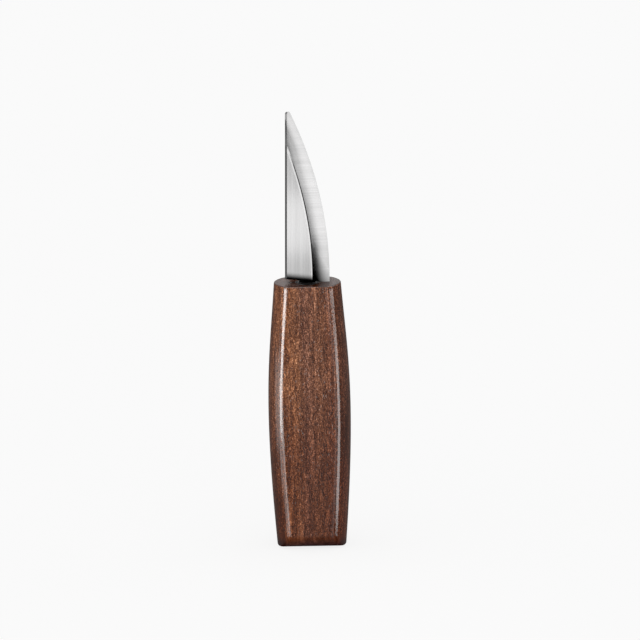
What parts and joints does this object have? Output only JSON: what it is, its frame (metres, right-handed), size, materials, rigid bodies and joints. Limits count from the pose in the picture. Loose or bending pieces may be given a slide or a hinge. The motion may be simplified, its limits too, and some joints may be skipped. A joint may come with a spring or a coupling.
{
  "type": "whittling knife",
  "caption": "Straight whittling knife: hollow-ground carving blade with a straight spine and swept edge, its hidden tang bedded in a barrel-shaped walnut handle with a flat butt.",
  "frame": {"origin": "middle of the flat butt of the handle, where the knife stands", "axes": "+Z from the butt towards the tip, +X towards the cutting edge, the blade's flats face -Y (front) and +Y"},
  "size_m": [0.0306, 0.021, 0.1667],
  "materials": {
    "walnut": "satin-gloss oiled walnut, straight grain",
    "steel": "satin ground carbon steel, lengthwise on the flat, crosswise on the bevel",
    "adhesive": "cured black epoxy, slightly glossy"
  },
  "bodies": {
    "root": {"handle": "walnut", "tang_adhesive": "adhesive", "blade": "steel"}
  },
  "joints": []
}
